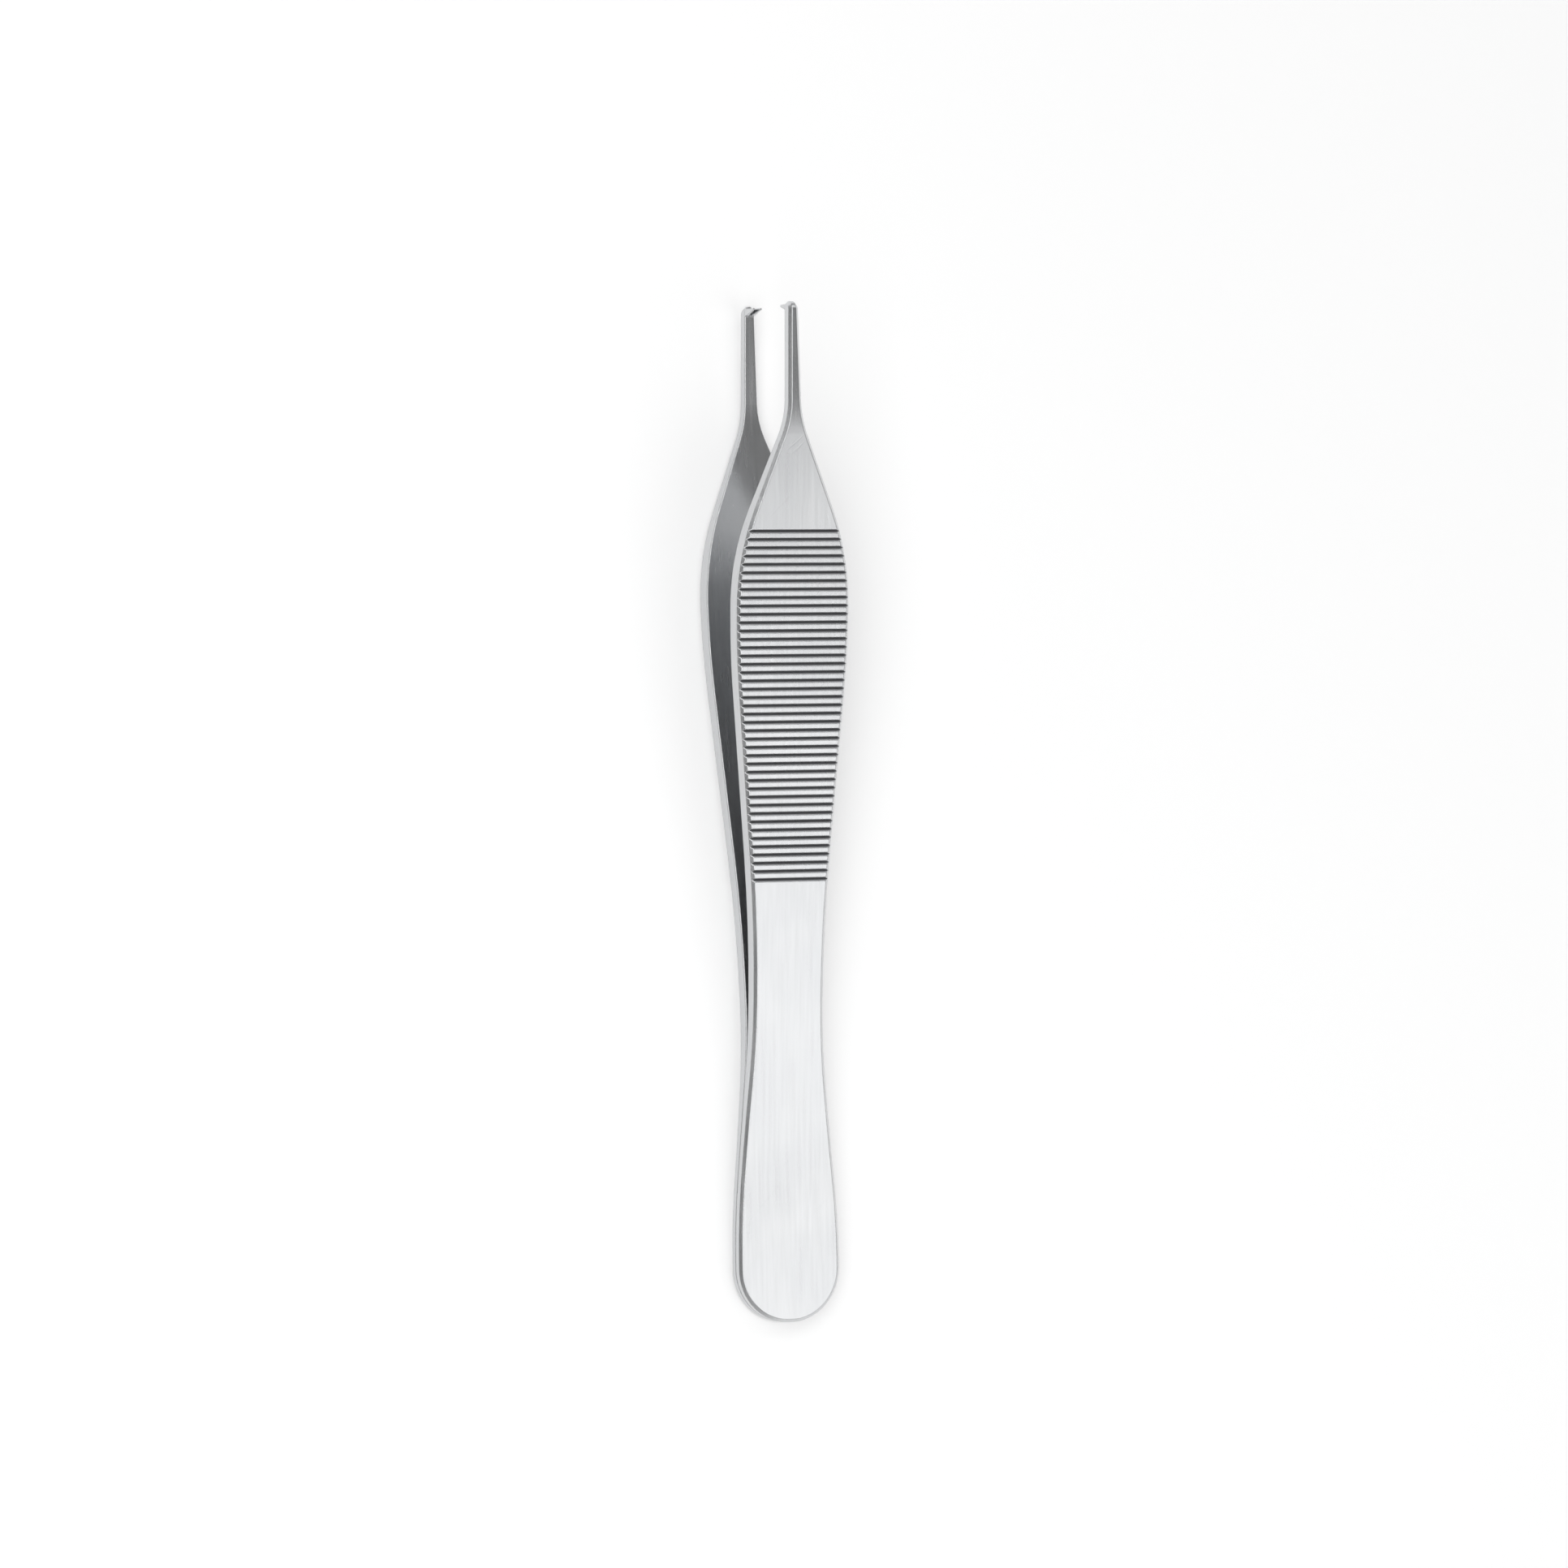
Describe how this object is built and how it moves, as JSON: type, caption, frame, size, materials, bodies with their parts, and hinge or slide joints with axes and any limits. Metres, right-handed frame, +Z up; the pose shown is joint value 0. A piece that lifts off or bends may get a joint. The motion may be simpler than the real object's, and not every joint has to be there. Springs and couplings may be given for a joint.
{
  "type": "thumb forceps",
  "caption": "Fine toothed thumb forceps: two springy steel arms welded at a rounded heel, with cross-ribbed finger grips and narrow jaws with meshing teeth.",
  "frame": {"origin": "centre of the bounding box's underside, on the surface that the forceps lie on", "axes": "+Y along the arms from the heel towards the tips, +X across the broad grips, +Z up"},
  "size_m": [0.0144, 0.1202, 0.0146],
  "materials": {
    "satin_steel": "satin"
  },
  "bodies": {
    "root": {"single_tooth_arm": "satin_steel", "double_tooth_arm": "satin_steel"}
  },
  "joints": []
}
